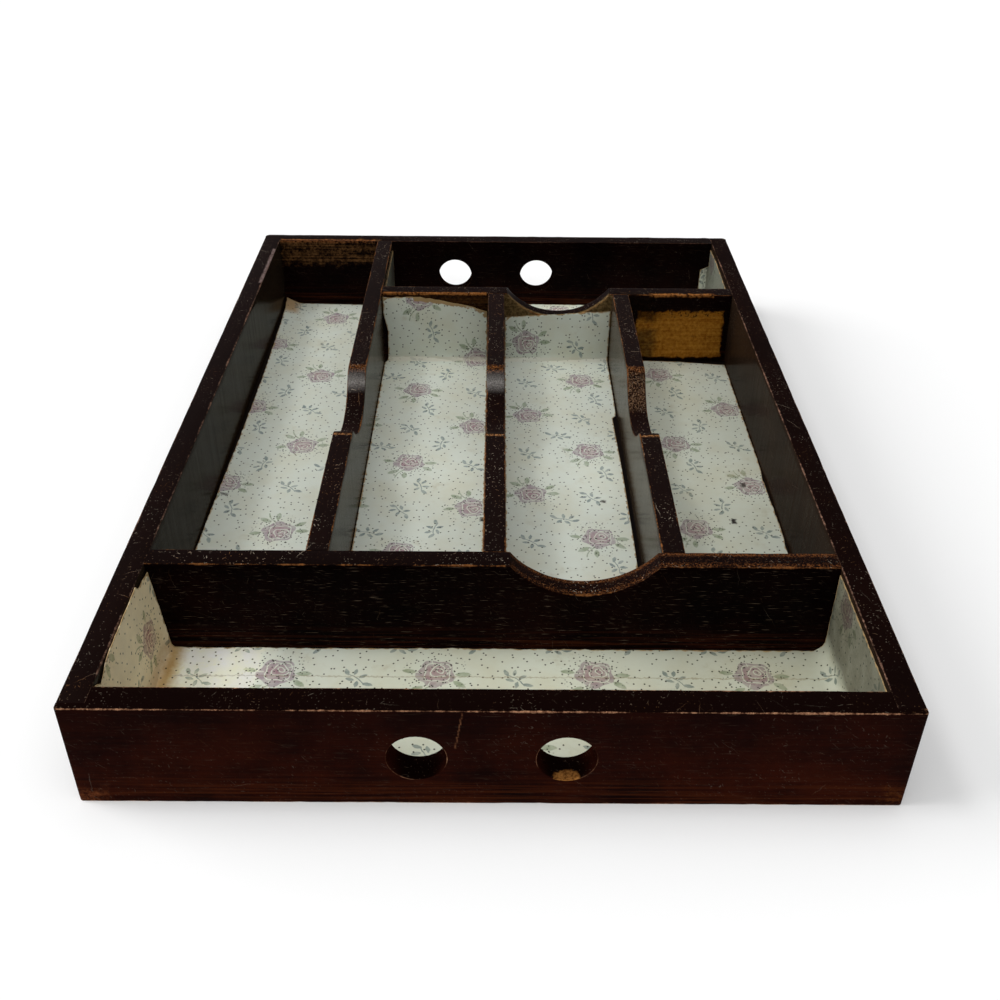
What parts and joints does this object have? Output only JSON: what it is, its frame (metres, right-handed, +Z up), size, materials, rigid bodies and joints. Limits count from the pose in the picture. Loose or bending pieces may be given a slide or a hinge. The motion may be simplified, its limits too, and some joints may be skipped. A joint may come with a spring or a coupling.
{
  "type": "knife tray",
  "caption": "Shallow open wooden tray for table knives and cutlery, with finger holes in the ends, scooped cross partitions, long dividers with hand dips, and bays lined with printed paper.",
  "frame": {"origin": "middle of the footprint, on the plane the tray rests on", "axes": "+X to the right as seen from the end with the full-width cross bay, +Y along the length to the other end, +Z up"},
  "size_m": [0.322, 0.463, 0.05],
  "materials": {
    "dark_wood": "worn dark red-brown varnish",
    "base_wood": "bare thin board",
    "liner_paper": "printed shelf paper, satin",
    "pin_steel": "dulled wire"
  },
  "bodies": {
    "root": {"front_board": "dark_wood", "back_board": "dark_wood", "left_side": "dark_wood", "right_side": "dark_wood", "base_panel": "base_wood", "front_partition": "dark_wood", "rear_partition": "dark_wood", "left_divider": "dark_wood", "middle_divider": "dark_wood", "right_divider": "dark_wood", "front_bay_liner": "liner_paper", "rear_bay_liner": "liner_paper", "left_bay_liner": "liner_paper", "second_bay_liner": "liner_paper", "third_bay_liner": "liner_paper", "fourth_bay_liner": "liner_paper", "base_pins": "pin_steel", "corner_pins": "pin_steel"}
  },
  "joints": []
}
